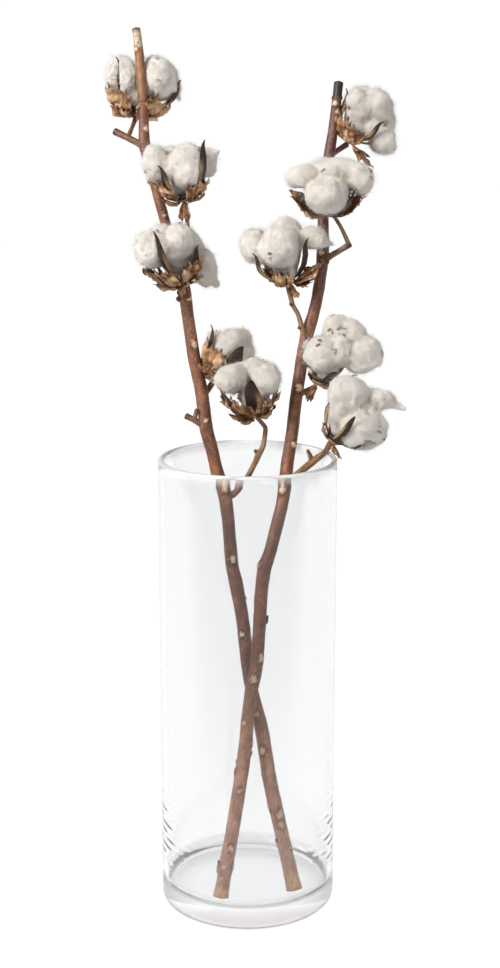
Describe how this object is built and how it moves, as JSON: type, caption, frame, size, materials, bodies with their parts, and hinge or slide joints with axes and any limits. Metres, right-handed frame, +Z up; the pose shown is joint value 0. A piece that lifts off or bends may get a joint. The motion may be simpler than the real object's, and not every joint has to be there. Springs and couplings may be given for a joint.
{
  "type": "cotton stem bunch in a vase",
  "caption": "Dried cotton stems with open bolls of white lint, brown burrs and papery bracts, leaning crossed in a tall clear glass cylinder vase.",
  "frame": {"origin": "centre of the vase's flat underside", "axes": "+Z up along the vase's axis, -Y towards the front that the bunch shows, +X to the right seen from that front"},
  "size_m": [0.2596, 0.2577, 0.7565],
  "materials": {
    "glass": "clear polished glass",
    "bark": "dry reddish brown bark with pale leaf scars",
    "lint": "soft fluffy cotton fibre",
    "burr": "dry dark brown boll valves with tan edges",
    "bracts": "dry papery brown bracts"
  },
  "bodies": {
    "root": {"vase": "glass", "stem_a": "bark", "stem_b": "bark", "boll_a1_lint": "lint", "boll_a1_burr": "burr", "boll_a1_bracts": "bracts", "boll_a2_lint": "lint", "boll_a2_burr": "burr", "boll_a2_bracts": "bracts", "boll_a3_lint": "lint", "boll_a3_burr": "burr", "boll_a3_bracts": "bracts", "boll_a4_lint": "lint", "boll_a4_burr": "burr", "boll_a4_bracts": "bracts", "boll_a5_lint": "lint", "boll_a5_burr": "burr", "boll_a5_bracts": "bracts", "boll_b1_lint": "lint", "boll_b1_burr": "burr", "boll_b1_bracts": "bracts", "boll_b2_lint": "lint", "boll_b2_burr": "burr", "boll_b2_bracts": "bracts", "boll_b3_lint": "lint", "boll_b3_burr": "burr", "boll_b3_bracts": "bracts", "boll_b4_lint": "lint", "boll_b4_burr": "burr", "boll_b4_bracts": "bracts", "boll_b5_lint": "lint", "boll_b5_burr": "burr", "boll_b5_bracts": "bracts"}
  },
  "joints": []
}
